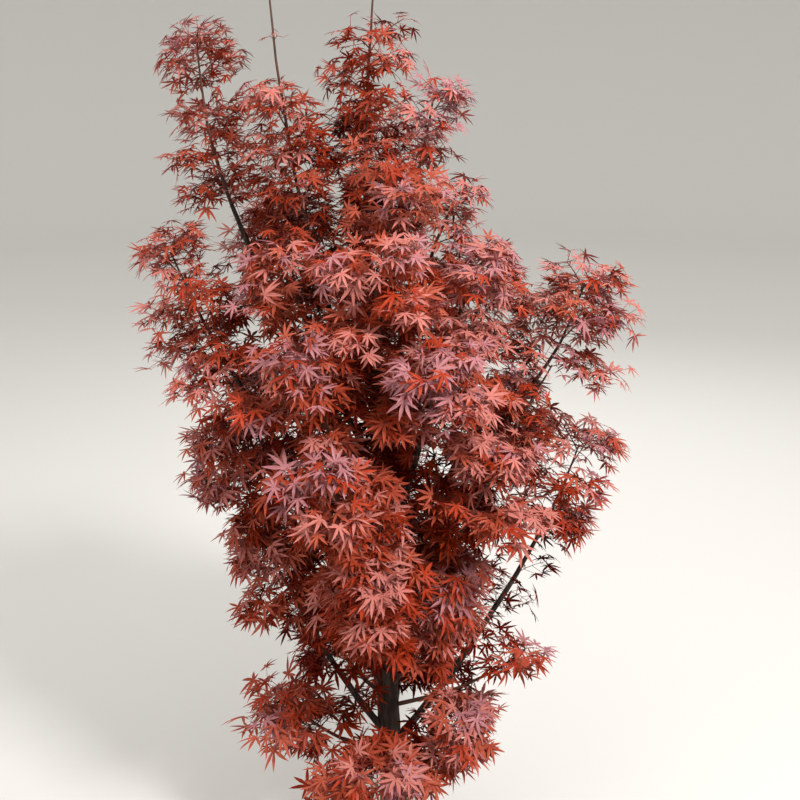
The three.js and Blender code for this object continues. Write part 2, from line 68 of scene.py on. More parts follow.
# Each mass fills its own space: a rounded body with half widths wide and tall, its middle standing
# out from the axis on a bearing, at a height. A bough or its own stem leaves the trunk at the height
# foot. A thin below 1 leaves out some of its twigs, and a whip is how far its stem shoots up bare.
MASSES = [
    dict(name="spire_left", bearing=172, out=346, height=1508, wide=88, tall=212, foot=742, thin=0.9),
    dict(name="leader_left", bearing=187, out=200, height=1425, wide=112, tall=190, foot=880, whip=215,
         thin=0.95),
    dict(name="leader_centre", bearing=135, out=26, height=1545, wide=110, tall=165, on="tip",
         whip=130, thin=0.8),
    dict(name="leader_right", bearing=352, out=62, height=1490, wide=82, tall=122, foot=1180,
         on="trunk", thin=0.85),
    dict(name="shoulder_right", bearing=348, out=102, height=1312, wide=96, tall=108, foot=985),
    dict(name="upper_centre", bearing=258, out=118, height=1380, wide=132, tall=125, foot=1045,
         thin=0.9),
    dict(name="back_top", bearing=95, out=205, height=1400, wide=130, tall=140, foot=960),
    dict(name="left_high", bearing=182, out=392, height=1185, wide=142, tall=142, foot=585),
    dict(name="centre_high", bearing=262, out=225, height=1215, wide=135, tall=125, foot=790),
    dict(name="left_inner", bearing=207, out=212, height=1198, wide=112, tall=112, foot=815),
    dict(name="right_inner", bearing=322, out=175, height=1195, wide=128, tall=120, foot=850),
    dict(name="right_high", bearing=3, out=340, height=1120, wide=150, tall=142, foot=700),
    dict(name="back_high_left", bearing=135, out=330, height=1225, wide=138, tall=130, foot=655),
    dict(name="back_high_right", bearing=50, out=288, height=1145, wide=124, tall=118, foot=765),
    dict(name="left_mid", bearing=191, out=328, height=1035, wide=126, tall=118, foot=480),
    dict(name="front_mid_left", bearing=238, out=272, height=1060, wide=135, tall=122, foot=620),
    dict(name="front_mid_right", bearing=288, out=228, height=1045, wide=138, tall=120, foot=680),
    dict(name="right_mid", bearing=347, out=282, height=1000, wide=132, tall=112, foot=550, thin=0.85),
    dict(name="back_mid", bearing=88, out=300, height=1035, wide=150, tall=128, foot=600),
    dict(name="left_low", bearing=187, out=310, height=832, wide=124, tall=118, foot=352),
    dict(name="front_low_left", bearing=247, out=270, height=860, wide=138, tall=122, foot=440),
    dict(name="front_low_right", bearing=317, out=238, height=850, wide=138, tall=120, foot=510),
    dict(name="right_low", bearing=1, out=345, height=795, wide=132, tall=150, foot=200, thin=0.6),
    dict(name="back_low_left", bearing=143, out=315, height=880, wide=142, tall=132, foot=400),
    dict(name="back_low_right", bearing=40, out=300, height=860, wide=140, tall=130, foot=460),
    dict(name="skirt_left", bearing=192, out=264, height=662, wide=130, tall=102, foot=225),
    dict(name="skirt_front", bearing=260, out=220, height=662, wide=132, tall=115, foot=400, on="trunk"),
    dict(name="skirt_right", bearing=307, out=158, height=592, wide=98, tall=145, foot=345, on="trunk"),
    dict(name="skirt_back", bearing=95, out=250, height=670, wide=155, tall=132, foot=310, on="trunk"),
    dict(name="right_lowest", bearing=346, out=262, height=436, wide=74, tall=66, foot=300, on="trunk",
         thin=0.4),
    dict(name="skirt_inner", bearing=188, out=132, height=472, wide=92, tall=88, foot=318, on="trunk"),
    dict(name="base_left", bearing=202, out=226, height=335, wide=140, tall=108, foot=178, on="trunk",
         thin=0.7),
    dict(name="base_front", bearing=258, out=200, height=238, wide=165, tall=88, foot=118, on="trunk",
         thin=0.85),
    dict(name="base_right", bearing=321, out=156, height=280, wide=108, tall=122, foot=140, on="trunk",
         thin=0.8),
    dict(name="base_back", bearing=82, out=185, height=385, wide=150, tall=130, foot=200, on="trunk"),
]

# What is finer here than in the part. A pair in brackets is the range of a random draw, and `keep` is
# the share of shoots that are kept.
SEED = dict(masses=1000, per_mass=37, shapes=77, spurs=404, spur_leaves=909, bark=5)
SHOOT = dict(bearing=24, bend=18, droop=(5, 40), length=(0.9, 1.1), shorter=0.6, unevenness=1.6,
             room=24, room_rise=0.3)
TWIG = dict(spacing=30, longest=0.88, shortest=0.2, tries=8, keep=0.92, first=0.08,
            first_on_trunk=0.34, last=0.95, first_turn=(20, 70), turn=12, stagger=0.02,
            lift_low=-26, lift_high=34, lift_span=36, foot_radius=1.5, tip_radius=0.9, rings=6, sides=5)
SIDE = dict(shares=(0.26, 0.46, 0.66, 0.85), least_out=14, longest=58, share_at_foot=0.75,
            share_at_tip=0.4, shortest=20, tries=5, keep=0.78, bearing=(38, 66), lift=(-6, 30),
            foot_radius=0.95, tip_radius=0.65, rings=4, sides=3)
END = dict(share=0.985, turns=(0, 120, 240), longest=46, shortest=16, tries=5)
WHIP = dict(wide=62, leafy_below=0.9, leafy_above=40, spacing=74, first=0.08, last=0.95, lift=40,
            length=12, droop=10, leaf_scale=0.5)
SPUR = dict(spacing=26, length=(26, 95), lift=(5, 55), bend=20, trunk_from=380, trunk_to=30,
            trunk_closer=0.6, trunk_turn=137.5, bough_from=0.36, low_bough_from=0.14, bough_to=0.97,
            low=420, leaf_scale=0.92)
PETIOLE = dict(length=(16, 42), ahead=(0.3, 0.8), up=(0.0, 0.3), flat=0.6, sag=0.06, end_share=0.7,
               foot_radius=0.65, tip_radius=0.45, sides=3)
LEAF = dict(size=(32, 52), top_share=0.64, end_share=0.84, rosette_step=13, node_step=18,
            bare_share=0.16, turn=25, outward=(-0.2, 0.95), stray=0.28, tilt=(-16, 22),
            tip_share=0.9)

# How far a leaf's middle and tip may stand out of its mass's space, and past its walls
PAST_SPACE = dict(middle=15, tip=26)
PAST_WALL = dict(middle=34, tip=50)

# The limbs as straight lengths, for how clear of them the leaves are
BONES = dict(trunk_points=24, limb_points=9, stem_tip_radius=1.6)

# How far a leaf keeps from every limb, at its middle and part of the way out along its lobes, how
# low its tip may hang, and how far it may stand out of the frame's box.
LEAF_CLEAR = dict(middle=5, lobe=1.5, lobe_share=0.62, lobe_bearings=(0, -80, 80), droop=0.3, ground=8,
                  past_box=9)


# Vectors and curves

def heading(bearing, lift=0.0):
    """The direction on a bearing, lifted above the level."""
    turn, rise = np.radians(bearing), np.radians(lift)
    level = np.cos(rise)
    return np.stack(np.broadcast_arrays(np.cos(turn) * level, np.sin(turn) * level, np.sin(rise)), -1)


def unit(vectors):
    """The vectors, each brought to a length of 1."""
    return vectors / np.maximum(np.linalg.norm(vectors, axis=-1, keepdims=True), 1e-9)


def lerp(a, b, share):
    """What lies a share of the way from a to b."""
    return a + (b - a) * share


def either_way(rng, amount):
    """A random draw of up to an amount, down or up."""
    return rng.uniform(-amount, amount)


class Curve:
    """A quadratic curve from a foot by way of a turn to a tip."""

    STEPS = 32

    def __init__(self, foot, turn, tip):
        self.foot, self.turn, self.tip = (np.asarray(point, float) for point in (foot, turn, tip))
        steps = np.diff(self.at(np.linspace(0, 1, self.STEPS + 1)), axis=0)
        self.length = np.linalg.norm(steps, axis=1).sum()

    def at(self, share):
        """The points at some shares of the way."""
        s = np.asarray(share, float)[..., None]
        return (1 - s) ** 2 * self.foot + 2 * s * (1 - s) * self.turn + s * s * self.tip

    def along(self, share):
        """The directions in which the curve runs there."""
        s = np.asarray(share, float)[..., None]
        return unit((1 - s) * (self.turn - self.foot) + s * (self.tip - self.turn))


# The limbs

def trunk_at(height):
    """The middle of the trunk at a height: it leans to the left and back, and sways as it climbs."""
    height = np.asarray(height, float)
    share = height / TRUNK["height"]
    bend = np.sin(share * TRUNK["half_waves"] * math.pi) * TRUNK["sway"] * share * (1 - share) * 4
    x = -TRUNK["lean_left"] * share ** TRUNK["left_curve"] + bend
    y = TRUNK["lean_back"] * share ** TRUNK["back_curve"] - bend * TRUNK["sway_back"]
    return np.stack([x, y, height], -1)


def from_trunk(points):
    """How points stand from the middle of the trunk at their own height, or from its tip above it."""
    return points - trunk_at(np.clip(points[..., 2], 0, TRUNK["height"]))


def trunk_radius(height, angle=0.0):
    """The trunk's radius at a height, with its flare towards the roots."""
    share = (height / TRUNK["height"]) ** TRUNK["taper"]
    depth = TRUNK["lobe_depth"]
    lobes = 1 - depth + depth * np.cos(TRUNK["root_lobes"] * angle + TRUNK["lobe_turn"])
    flare = TRUNK["flare_out"] * lobes * np.exp(-height / TRUNK["flare_height"])
    return lerp(TRUNK["low_radius"], TRUNK["tip_radius"], share) + flare


def middle_of(mass):
    """Where the middle of a mass is."""
    return heading(mass["bearing"]) * mass["out"] + UP * mass["height"]


def sweep(start, end, out_share, up_share):
    """A limb that leaves the trunk outwards and then sweeps upwards."""
    turn = lerp(start, end, out_share)
    turn[2] = lerp(start[2], end[2], up_share)
    return Curve(start, turn, end)


def bough_curve(mass):
    """A mass's bough, from the trunk to where it enters the mass."""
    inward = heading(mass["bearing"]) * ENTRY["inward"] * mass["wide"]
    entry = middle_of(mass) - inward - UP * ENTRY["below"] * mass["tall"]
    return sweep(trunk_at(mass["foot"]), entry, BOUGH["turn_out"], BOUGH["turn_up"])


def bough_radius(curve):
    """A bough's radius at its foot. A longer bough is thicker."""
    return BOUGH["foot_radius"] + BOUGH["per_reach"] * (curve.length - BOUGH["usual_reach"])


def top_of(mass):
    """Where a mass's stem ends."""
    above = TOP["above"] * mass["tall"] + mass.get("whip", 0)
    return middle_of(mass) + heading(mass["bearing"]) * TOP["outward"] * mass["wide"] + UP * above


def stem_curve(mass):
    """A mass's stem, from the trunk or on from its bough's tip to high in the mass."""
    top = top_of(mass)
    if mass.get("on") == "trunk":
        return sweep(trunk_at(mass["foot"]), top, STEM["turn_out"], STEM["turn_up"])
    if mass.get("on") == "tip":
        foot, along = trunk_at(TRUNK["height"]), UP
    else:
        carrier = bough_curve(mass)
        foot, along = carrier.at(1.0), carrier.along(1.0)
    foot = foot + along * GAP
    return Curve(foot, foot + along * STEM["straight"] * np.linalg.norm(top - foot), top)


def stem_radius(mass):
    """A stem's radius at its foot."""
    return STEM["on_trunk_radius"] if mass.get("on") == "trunk" else STEM["foot_radius"]


# The space of each mass

def reach(mass, direction):
    """How far a mass reaches from its middle in a direction."""
    wide, tall = mass["wide"], mass["tall"]
    return math.hypot(wide * direction[0], wide * direction[1], tall * direction[2])


def walls_of(mass):
    """The planes that part a mass from the others: normals, and distances from its middle."""
    normals, distances = [], []
    for other in MASSES:
        if other is mass:
            continue
        normal = middle_of(other) - middle_of(mass)
        apart = np.linalg.norm(normal)
        normal = normal / apart
        share = reach(mass, normal) / (reach(mass, normal) + reach(other, normal))
        normals.append(normal)
        distances.append(apart * share - CELL_MARGIN)
    return np.array(normals), np.array(distances)


def in_whip(mass, points):
    """Which points are in the slim space round the bare end of a mass's stem."""
    top = top_of(mass)
    beside = np.hypot(points[:, 0] - top[0], points[:, 1] - top[1]) < WHIP["wide"]
    above = points[:, 2] > top[2] - WHIP["leafy_below"] * mass["whip"]
    return beside & above & (points[:, 2] < top[2] + WHIP["leafy_above"])


def in_space(mass, walls, points, over=0.0, past=0.0):
    """Which points are in a mass's space, or at most `over` outside it and `past` beyond its walls."""
    points = np.atleast_2d(points)
    away = points - middle_of(mass)
    across = np.hypot(away[:, 0], away[:, 1]) / (mass["wide"] + over)
    rounded = across ** FULLNESS + (np.abs(away[:, 2]) / (mass["tall"] + over)) ** FULLNESS
    normals, distances = walls
    inside = (rounded < 1) & (away @ normals.T < distances + past).all(1)
    return inside | in_whip(mass, points) if "whip" in mass else inside


def limb_bones():
    """Every trunk, bough and stem as straight lengths: starts, ends and radii."""
    starts, ends, radii = [], [], []

    def add(points, radius):
        starts.extend(points[:-1])
        ends.extend(points[1:])
        radii.extend((radius[:-1] + radius[1:]) / 2)

    heights = np.linspace(0, TRUNK["height"], BONES["trunk_points"])
    add(trunk_at(heights), trunk_radius(heights))
    shares = np.linspace(0, 1, BONES["limb_points"])
    for mass in MASSES:
        stem = stem_curve(mass)
        add(stem.at(shares), lerp(stem_radius(mass), BONES["stem_tip_radius"], shares))
        if "on" not in mass:
            curve = bough_curve(mass)
            add(curve.at(shares), lerp(bough_radius(curve), BOUGH["tip_radius"], shares))
    return np.array(starts), np.array(ends), np.array(radii)


def clearance(points, bones):
    """How far each point is from the nearest limb's bark."""
    nearest = np.full(len(points), np.inf)
    for start, end, radius in zip(*bones):
        line = end - start
        share = np.clip((points - start) @ line / (line @ line), 0, 1)
        apart = np.linalg.norm(points - start - share[:, None] * line, axis=1) - radius
        nearest = np.minimum(nearest, apart)
    return nearest


# Growing shoots

def curved_shoot(foot, bearing, lift, length, droop, bend):
    """A shoot that leaves at a lift and levels out by its tip."""
    turn = foot + heading(bearing, lift) * 0.5 * length
    return Curve(foot, turn, turn + heading(bearing + bend, lift - droop) * 0.5 * length)


def shoot_that_fits(rng, mass, walls, foot, bearing, lifts, longest, shortest, tries):
    """Tries shorter and shorter shoots, and keeps the first whose tip has room for a leaf."""
    longest = lerp(shortest, longest, 1 - SHOOT["shorter"] * rng.random() ** SHOOT["unevenness"])
    for turn in range(tries):
        length = lerp(longest, shortest, turn / (tries - 1)) * rng.uniform(*SHOOT["length"])
        lift = rng.uniform(*lifts)
        strayed = bearing + either_way(rng, SHOOT["bearing"])
        droop = rng.uniform(*SHOOT["droop"])
        curve = curved_shoot(foot, strayed, lift, length, droop, either_way(rng, SHOOT["bend"]))
        beyond = curve.tip + unit((curve.tip - foot) * [1, 1, SHOOT["room_rise"]]) * SHOOT["room"]
        if in_space(mass, walls, beyond)[0]:
            return curve
    return None


def twig_pair(rng, mass, walls, stem, share, bearing, low):
    """The twigs that a stem carries on its two sides at one node, lifted from `low` upwards."""
    longest, shortest = TWIG["longest"] * mass["wide"], TWIG["shortest"] * mass["wide"]
    lifts = (low, low + TWIG["lift_span"])
    for turn in (0, 180):
        dropped = rng.random() > TWIG["keep"] * mass.get("thin", 1)
        foot = stem.at(share + TWIG["stagger"] * (turn > 0))
        twig = shoot_that_fits(
            rng, mass, walls, foot, bearing + turn, lifts, longest, shortest, TWIG["tries"]
        )
        if twig is not None and not dropped:
            yield twig


def side_shoots(rng, mass, walls, twig):
    """The short shoots that a twig carries on its two sides."""
    out = twig.along(0.5)
    bearing = math.degrees(math.atan2(out[1], out[0]))
    for share in SIDE["shares"]:
        if share * twig.length < SIDE["least_out"]:
            continue
        share_of_twig = lerp(SIDE["share_at_foot"], SIDE["share_at_tip"], share)
        longest = min(SIDE["longest"], twig.length * share_of_twig)
        for side in (-1, 1):
            if rng.random() > SIDE["keep"] * mass.get("thin", 1):
                continue
            turned = bearing + side * rng.uniform(*SIDE["bearing"])
            curve = shoot_that_fits(
                rng, mass, walls, twig.at(share), turned, SIDE["lift"], longest, SIDE["shortest"],
                SIDE["tries"],
            )
            if curve is not None:
                yield curve


def end_shoots(rng, mass, walls, stem, bearing):
    """The short shoots in a ring round a stem's tip."""
    for turn in END["turns"]:
        curve = shoot_that_fits(
            rng, mass, walls, stem.at(END["share"]), bearing + turn, SIDE["lift"], END["longest"],
            END["shortest"], END["tries"],
        )
        if curve is not None:
            yield curve


def whip_shoots(stem, leafy, bearing):
    """Pairs of tiny shoots along the end of a stem that stands bare above its mass."""
    for share in np.arange(leafy + WHIP["first"], WHIP["last"], WHIP["spacing"] / stem.length):
        for turn in (0, 180):
            foot = stem.at(share)
            yield curved_shoot(foot, bearing + turn, WHIP["lift"], WHIP["length"], WHIP["droop"], 0)
        bearing += 90


def shoots_of(mass, rng, walls):
    """The shoots of one mass as (kind, curve, leaf scale), each twig before the shoots it carries."""
    stem = stem_curve(mass)
    whip = mass.get("whip", 0)
    leafy = 1 - whip / stem.length
    first = TWIG["first_on_trunk"] if mass.get("on") == "trunk" else TWIG["first"]
    nodes = max(3, round(stem.length * leafy * (TWIG["last"] - first) / TWIG["spacing"]))
    bearing = mass["bearing"] + rng.uniform(*TWIG["first_turn"])
    for node in range(nodes):
        share = leafy * lerp(first, TWIG["last"], node / (nodes - 1))
        low = lerp(TWIG["lift_low"], TWIG["lift_high"], node / (nodes - 1))
        for twig in twig_pair(rng, mass, walls, stem, share, bearing, low):
            yield "twig", twig, 1.0
            for curve in side_shoots(rng, mass, walls, twig):
                yield "side", curve, 1.0
        bearing += 90 + either_way(rng, TWIG["turn"])
    for curve in end_shoots(rng, mass, walls, stem, bearing):
        yield "side", curve, WHIP["leaf_scale"] if whip else 1.0
    for curve in whip_shoots(stem, leafy, bearing):
        yield "side", curve, WHIP["leaf_scale"]


def spurs():
    """Short shoots on the boughs and the upper trunk, which fill the crown's inside."""
    rng = np.random.default_rng(SEED["spurs"])
    feet = []
    for mass in MASSES:
        if "on" in mass:
            continue
        curve = bough_curve(mass)
        start = SPUR["low_bough_from"] if mass["foot"] < SPUR["low"] else SPUR["bough_from"]
        count = int(curve.length * (1 - start) / SPUR["spacing"])
        for i in range(count):
            share = lerp(start, SPUR["bough_to"], (i + rng.uniform(0, 1)) / count)
            feet.append((rng.uniform(0, 360), curve.at(share)))
    spacing = SPUR["spacing"] * SPUR["trunk_closer"]
    heights = np.arange(SPUR["trunk_from"], TRUNK["height"] - SPUR["trunk_to"], spacing)
    feet += [(SPUR["trunk_turn"] * i, trunk_at(height)) for i, height in enumerate(heights)]
    grown = []
    for bearing, foot in feet:
        length, lift = rng.uniform(*SPUR["length"]), rng.uniform(*SPUR["lift"])
        droop, bend = rng.uniform(*SHOOT["droop"]), either_way(rng, SPUR["bend"])
        grown.append(curved_shoot(foot, bearing, lift, length, droop, bend))
    return grown


# Growing leaves

def leaves_on(rng, curve, scale):
    """Leaf pairs at a shoot's nodes, a quarter turn apart: foot, stalk's direction and length, size."""
    leafy = curve.length * (1 - LEAF["bare_share"])
    backs = [0.0] + list(np.arange(LEAF["rosette_step"], leafy, LEAF["node_step"]))
    grown = lerp(1, LEAF["top_share"], np.clip(curve.tip[2] / HIGH[2], 0, 1))
    quarter = rng.uniform(0, 180)
    for node, back in enumerate(backs):
        share = 1 - back / curve.length
        along = curve.along(share)
        level = unit(np.cross(along, UP) + 1e-6)
        above = np.cross(level, along)
        young, near = (LEAF["end_share"], PETIOLE["end_share"]) if node == 0 else (1.0, 1)
        for side in (0, 180):
            turn = math.radians(quarter + side + either_way(rng, LEAF["turn"]))
            across = level * math.cos(turn) + above * math.sin(turn)
            direction = across + along * rng.uniform(*PETIOLE["ahead"])
            direction = direction + UP * rng.uniform(*PETIOLE["up"])
            size = rng.uniform(*LEAF["size"]) * scale * young * grown
            petiole = rng.uniform(*PETIOLE["length"]) * scale * near
            yield curve.at(share), unit(direction * [1, 1, PETIOLE["flat"]]), petiole, size
        quarter += 90


def blades(rng, feet, directions, petioles):
    """The frames of many leaves at once: middles, and forward, side and normal directions."""
    count = len(feet)
    middles = feet + directions * petioles[:, None] - UP * (PETIOLE["sag"] * petioles[:, None])
    outward = unit(from_trunk(middles) * [1, 1, 0])
    leaning = UP + outward * rng.uniform(*LEAF["outward"], (count, 1))
    plane = unit(leaning + rng.normal(0, LEAF["stray"], (count, 3)))
    ahead = unit(directions - (directions * plane).sum(1, keepdims=True) * plane)
    tilt = np.radians(rng.uniform(*LEAF["tilt"], count))[:, None]
    forward = ahead * np.cos(tilt) - plane * np.sin(tilt)
    normal = plane * np.cos(tilt) + ahead * np.sin(tilt)
    return middles, forward, np.cross(normal, forward), normal


LEAF_COLUMNS = ("tint", "shape", "size", "foot", "middle", "forward", "side", "normal")


def leaf_rows(rng, curve, scale, tint, fits):
    """A shoot's leaves whose middle and tip both fit, each as a row of the columns above."""
    columns = zip(*leaves_on(rng, curve, scale))
    feet, directions, petioles, sizes = (np.array(column) for column in columns)
    middles, forward, side, normal = blades(rng, feet, directions, petioles)
    tips = middles + forward * sizes[:, None] * LEAF["tip_share"]
    for i in np.flatnonzero(fits(middles, "middle") & fits(tips, "tip")):
        shape = int(rng.integers(len(SHAPES)))
        yield tint, shape, sizes[i], feet[i], middles[i], forward[i], side[i], normal[i]


def anywhere(spots, _):
    """A spur's leaves may be in any mass's space, or outside them all."""
    return np.full(len(spots), True)


def grow():
    """Every shoot's curve by kind, and every leaf as columns."""
    curves = {"twig": [], "side": []}
    rows = []
    for index, mass in enumerate(MASSES):
        rng = np.random.default_rng(SEED["masses"] + SEED["per_mass"] * index)
        walls = walls_of(mass)

        def fits(spots, part):
            return in_space(mass, walls, spots, PAST_SPACE[part], PAST_WALL[part])

        for kind, curve, scale in list(shoots_of(mass, rng, walls)):
            curves[kind].append(curve)
            rows.extend(leaf_rows(rng, curve, scale, tint_of(rng, mass, curve.tip), fits))
    rng = np.random.default_rng(SEED["spur_leaves"])
    for curve in spurs():
        curves["side"].append(curve)
        # Spur leaves inside the crown take the deep tints, painted shade, or now and then scarlet,
        # painted light shining through.
        tint = int(rng.choice([MAROON, WINE, GARNET, SCARLET], p=SPUR_TINT_SHARES))
        rows.extend(leaf_rows(rng, curve, SPUR["leaf_scale"], tint, anywhere))
    return curves, dict(zip(LEAF_COLUMNS, (np.array(column) for column in zip(*rows))))


def clear_leaves(leaves, bones):
    """The leaves that keep clear of every limb, of the ground and of the frame's box."""
    middles, sizes = leaves["middle"], leaves["size"][:, None]
    clear = clearance(middles, bones) > LEAF_CLEAR["middle"]
    for bearing in LEAF_CLEAR["lobe_bearings"]:
        ahead, across = heading(bearing)[:2]
        out = ahead * leaves["forward"] + across * leaves["side"]
        spots = middles + out * (LEAF_CLEAR["lobe_share"] * sizes)
        clear &= clearance(spots, bones) > LEAF_CLEAR["lobe"]
    tips = middles + leaves["forward"] * sizes - leaves["normal"] * LEAF_CLEAR["droop"] * sizes
    past = LEAF_CLEAR["past_box"]
    clear &= ((tips > LOW - past) & (tips < HIGH + past)).all(1) & (tips[:, 2] > LEAF_CLEAR["ground"])
    return {name: column[clear] for name, column in leaves.items()}


# Leaf shapes

# Each lobe's bearing from the middle one, its length, and its half width, for a leaf of unit radius.
LOBES = [(-128, 0.44, 0.05), (-85, 0.76, 0.074), (-41, 0.95, 0.088), (0, 1.0, 0.092),
         (41, 0.95, 0.088), (85, 0.76, 0.074), (128, 0.44, 0.05)]
LOBE = dict(bearing=7, length=(0.9, 1.08), bow=0.14, droop=(-0.08, 0.34), droop_stray=0.18,
            droop_curve=1.8, droop_growth=1.5, fold=(0.1, 0.4), rib_at=0.5, wide_at=0.46,
            narrow_at=0.74, narrow=0.62, narrow_fold=0.6, bow_at_wide=0.4, bow_at_narrow=0.8,
            bow_at_tip=1.4, plain_below=0.6)
NOTCH = dict(radius=0.17, vary=(0.85, 1.15), base_radius=0.07, base_turn=32, lift=0.02)
SHAPE_COUNT = 14


def leaf_outline(rng):
    """A leaf's lobes' bearings, and its notches as (bearing, radius), from one side of its stalk on."""
    bearings = [bearing + either_way(rng, LOBE["bearing"]) for bearing, _, _ in LOBES]
    between = [(a + b) / 2 for a, b in zip(bearings, bearings[1:])]
    borders = [bearings[0] - NOTCH["base_turn"]] + between + [bearings[-1] + NOTCH["base_turn"]]
    inner = [NOTCH["radius"] * rng.uniform(*NOTCH["vary"]) for _ in between]
    return bearings, list(zip(borders, [NOTCH["base_radius"]] + inner + [NOTCH["base_radius"]]))


def lobe_faces(notches, rib, tip, right, left, plain):
    """A lobe's faces between its two notches. Its two edges fold up from its midrib."""
    faces = [(0, notches[0], right[0]), (0, right[0], rib), (0, rib, left[0]), (0, left[0], notches[1])]
    if plain:
        return faces + [(rib, right[0], tip), (rib, tip, left[0])]
    faces += [(rib, right[0], right[1]), (rib, right[1], tip)]
    return faces + [(rib, tip, left[1]), (rib, left[1], left[0])]


def leaf_shape(rng):
    """One leaf of unit radius in its own frame: seven drooping lobes, each folded along its midrib."""
    droop, fold = rng.uniform(*LOBE["droop"]), rng.uniform(*LOBE["fold"])
    bearings, notches = leaf_outline(rng)
    points, faces = [np.zeros(3)], []

    def put(bearing, ahead, across, lift, length=1, droop=0.0):
        out, level = heading(bearing), heading(bearing + 90)
        sag = -droop * (ahead / length) ** LOBE["droop_curve"] * length ** LOBE["droop_growth"]
        points.append(out * ahead + level * across + UP * (sag + lift))
        return len(points) - 1

    notches = [put(bearing, radius, 0, NOTCH["lift"]) for bearing, radius in notches]
    for i, (bearing, (_, length, wide)) in enumerate(zip(bearings, LOBES)):
        length = length * rng.uniform(*LOBE["length"])
        bow = either_way(rng, LOBE["bow"])
        hang = dict(length=length, droop=droop + either_way(rng, LOBE["droop_stray"]))
        lift = fold * wide
        rib = put(bearing, LOBE["rib_at"] * length, bow * LOBE["bow_at_wide"] * length, 0, **hang)
        tip = put(bearing, length, bow * LOBE["bow_at_tip"] * length, 0, **hang)
        edges = []
        for hand in (-1, 1):
            across = hand * wide + bow * LOBE["bow_at_wide"] * length
            near = put(bearing, LOBE["wide_at"] * length, across, lift, **hang)
            across = hand * wide * LOBE["narrow"] + bow * LOBE["bow_at_narrow"] * length
            far = put(bearing, LOBE["narrow_at"] * length, across, lift * LOBE["narrow_fold"], **hang)
            edges.append((near, far))
        faces += lobe_faces(notches[i:i + 2], rib, tip, *edges, plain=length < LOBE["plain_below"])
    return np.array(points), np.array(faces)


# Meshes

def mesh_piece(name, points, faces, material, smooth):
    """A mesh object of triangles or quads, from points in millimetres."""
    mesh = bpy.data.meshes.new(name)
    mesh.vertices.add(len(points))
    mesh.vertices.foreach_set("co", (points * MM).astype(np.float32).ravel())
    mesh.loops.add(faces.size)
    mesh.loops.foreach_set("vertex_index", faces.astype(np.int32).ravel())
    mesh.polygons.add(len(faces))
    mesh.polygons.foreach_set("loop_start", np.arange(0, faces.size, faces.shape[1], dtype=np.int32))
    mesh.polygons.foreach_set("use_smooth", np.full(len(faces), smooth))
    mesh.materials.append(material)
    mesh.update(calc_edges=True)
    piece = bpy.data.objects.new(name, mesh)
    bpy.context.scene.collection.objects.link(piece)
    return piece


def joined(parts):
    """Many meshes as one, each given as its points and its faces."""
    offsets = np.cumsum([0] + [len(points) for points, _ in parts])
    faces = [faces + offset for (_, faces), offset in zip(parts, offsets)]
    return np.vstack([points for points, _ in parts]), np.vstack(faces)


def tube_points(middles, radii, sides):
    """Rings of points round many lines at once, given as (tube, ring, 3), with radii as (tube, ring)."""
    along = unit(np.gradient(middles, axis=1))
    chord = unit(middles[:, -1] - middles[:, 0])
    steep = np.abs(chord[:, 2:]) > 0.8
    helper = np.where(steep, [1.0, 0.0, 0.0], UP)
    level = unit(np.cross(along, helper[:, None]))
    above = np.cross(level, along)
    angles = 2 * math.pi * np.arange(sides) / sides
    spokes = level[:, :, None] * np.cos(angles)[:, None] + above[:, :, None] * np.sin(angles)[:, None]
    return middles[:, :, None] + spokes * np.broadcast_to(radii, middles.shape[:2])[:, :, None, None]


def tube_faces(tubes, rings, sides):
    """Quads for tubes whose points run ring by ring."""
    ring = np.arange(rings - 1)[:, None] * sides
    side = np.arange(sides)
    on = (side + 1) % sides
    quads = np.stack([ring + side, ring + on, ring + on + sides, ring + side + sides], -1).reshape(-1, 4)
    return (quads + (np.arange(tubes) * rings * sides)[:, None, None]).reshape(-1, 4)


def tubes(lines, radii, sides):
    """Points and quads of many tubes that all have the same number of rings."""
    points = tube_points(lines, radii, sides)
    return points.reshape(-1, 3), tube_faces(*points.shape[:2], sides)


def smooth_noise(rng, rows, columns, coarse_rows, coarse_columns):
    """Soft random relief from -1 to 1 on a grid that wraps round in its columns."""
    coarse = rng.uniform(-1, 1, (coarse_rows + 2, coarse_columns))
    r = np.linspace(0, coarse_rows, rows)[:, None]
    c = (np.arange(columns) * coarse_columns / columns)[None]
    r0, c0 = np.floor(r).astype(int), np.floor(c).astype(int)
    fr, fc = r - r0, c - c0
    fr, fc = fr * fr * (3 - 2 * fr), fc * fc * (3 - 2 * fc)
    c1 = (c0 + 1) % coarse_columns
    top = lerp(coarse[r0, c0], coarse[r0, c1], fc)
    low = lerp(coarse[r0 + 1, c0], coarse[r0 + 1, c1], fc)
    return lerp(top, low, fr)


# The bark's relief. Noise is given as (coarse rows, coarse columns), and more rows make it shorter.
TRUNK_BARK = dict(rings=340, sides=44, crowding=1.25, ridges=(46, 22), fine_ridges=(120, 44),
                  fine_share=0.5, ridge=0.55, swells=(16, 5), thins=0.75, scar_every=74, scar_at=37,
                  scar_wide=2.6, scar=0.8, scar_thins=0.6, smooth_foot=12, foot_share=0.35)
BOUGH_BARK = dict(rings=44, sides=12, wander=1.6, swells=(14, 5), swell=0.35, ridges=(40, 10),
                  ridge=0.22, collar=3.2, collar_length=15)
STEM_BARK = dict(rings=26, sides=8, wander=1.2, tip_radius=1.5)
WANDER_KNOTS = 8


